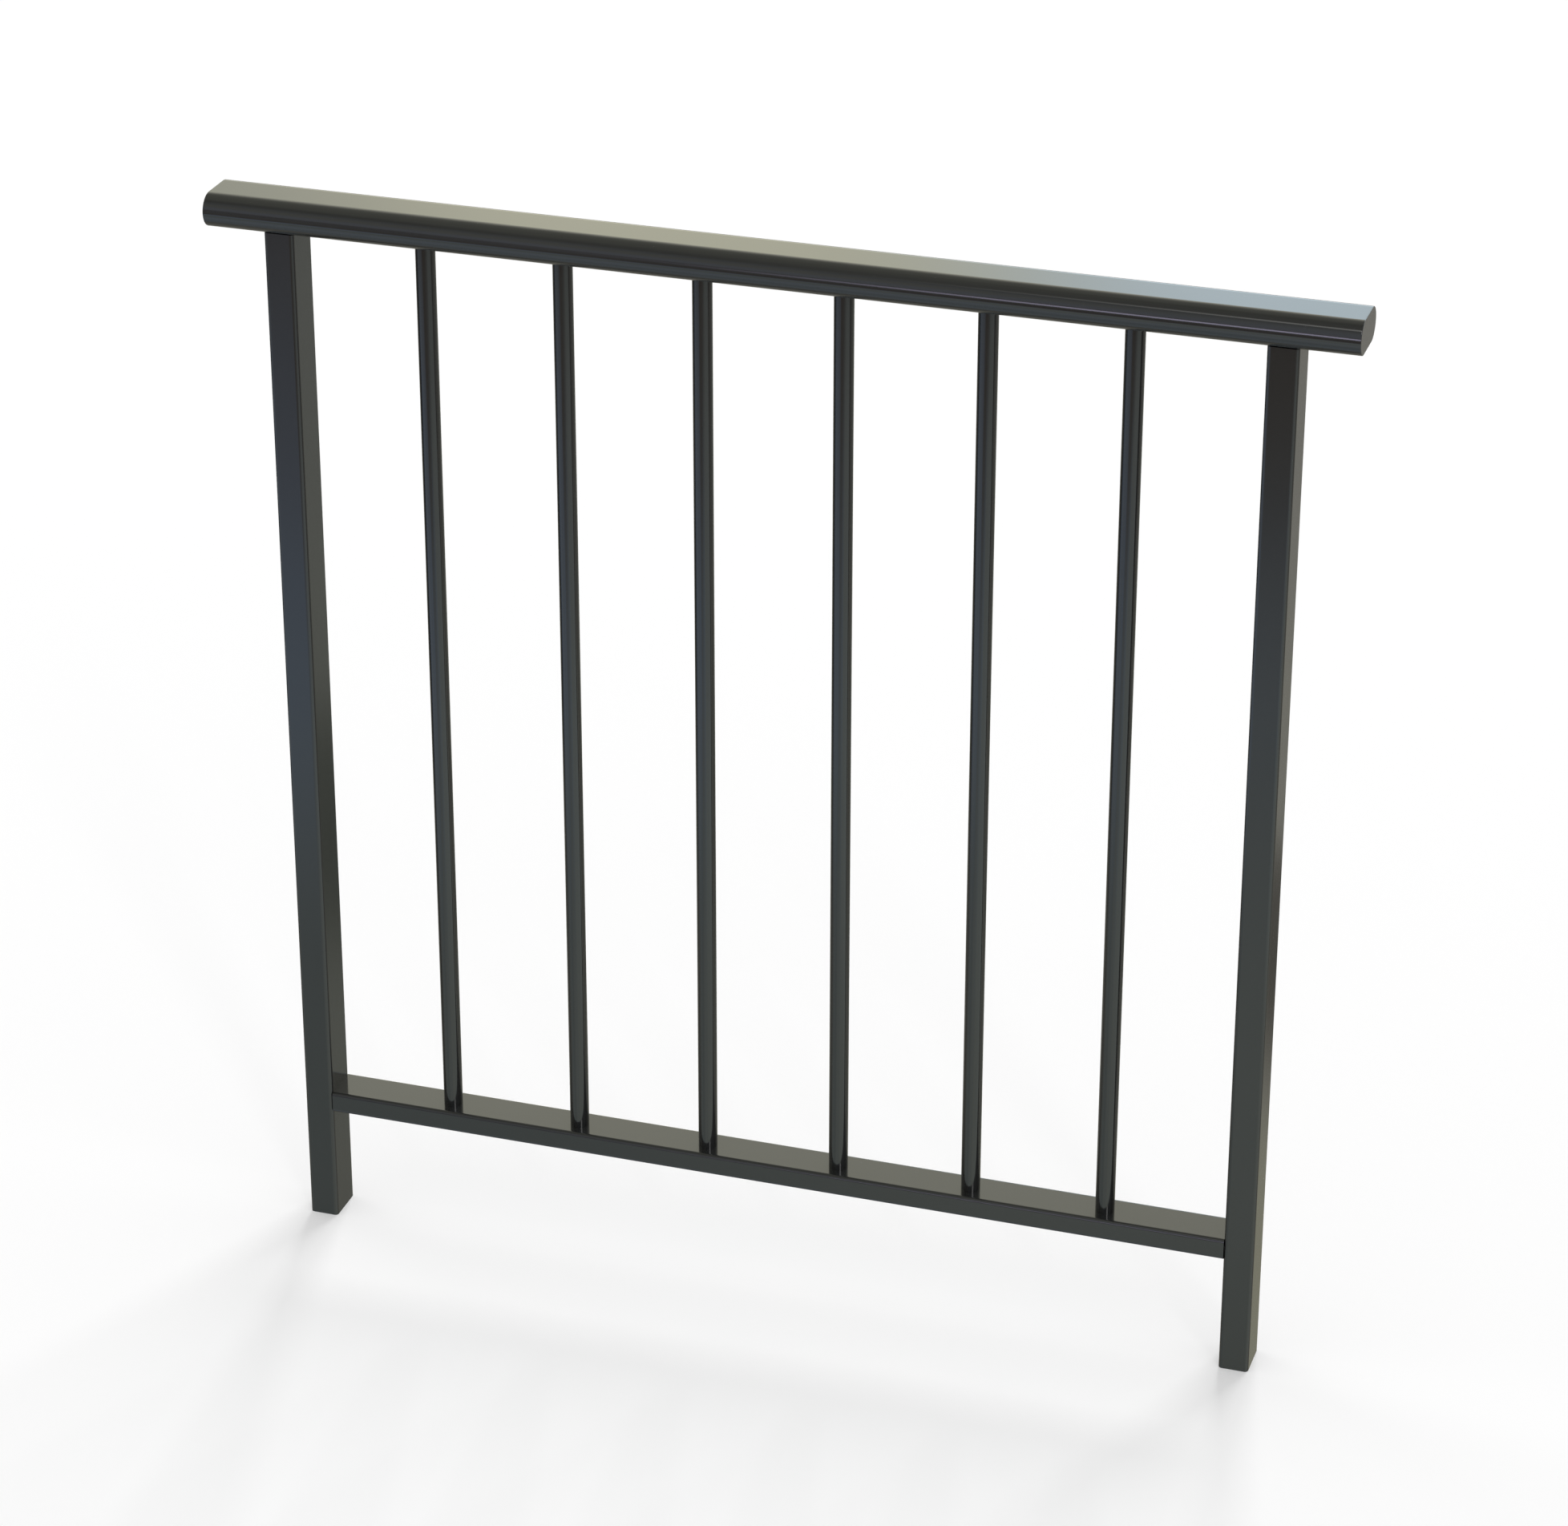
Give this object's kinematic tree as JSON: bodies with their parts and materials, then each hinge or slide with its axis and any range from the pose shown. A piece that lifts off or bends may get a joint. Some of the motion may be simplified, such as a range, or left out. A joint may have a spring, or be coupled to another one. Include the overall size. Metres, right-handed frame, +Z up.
{
  "type": "street barrier",
  "caption": "Welded street barrier: a flat-sided oval handrail on slim rectangular posts, with a low bottom rail and upright round bars between, in dark gloss coat.",
  "frame": {"origin": "centre of the left post's flat foot, on the ground", "axes": "+X along the barrier from the left post to the right post, +Y through the barrier away from the viewer, +Z up"},
  "size_m": [1, 0.06, 1],
  "materials": {
    "coat": "dark grey gloss powder coat"
  },
  "bodies": {
    "root": {"handrail": "coat", "handrail_end_cap_left": "coat", "handrail_end_cap_right": "coat", "post_left": "coat", "post_right": "coat", "post_foot_plug_left": "coat", "post_foot_plug_right": "coat", "bottom_rail": "coat", "bar_1": "coat", "bar_2": "coat", "bar_3": "coat", "bar_4": "coat", "bar_5": "coat", "bar_6": "coat"}
  },
  "joints": []
}
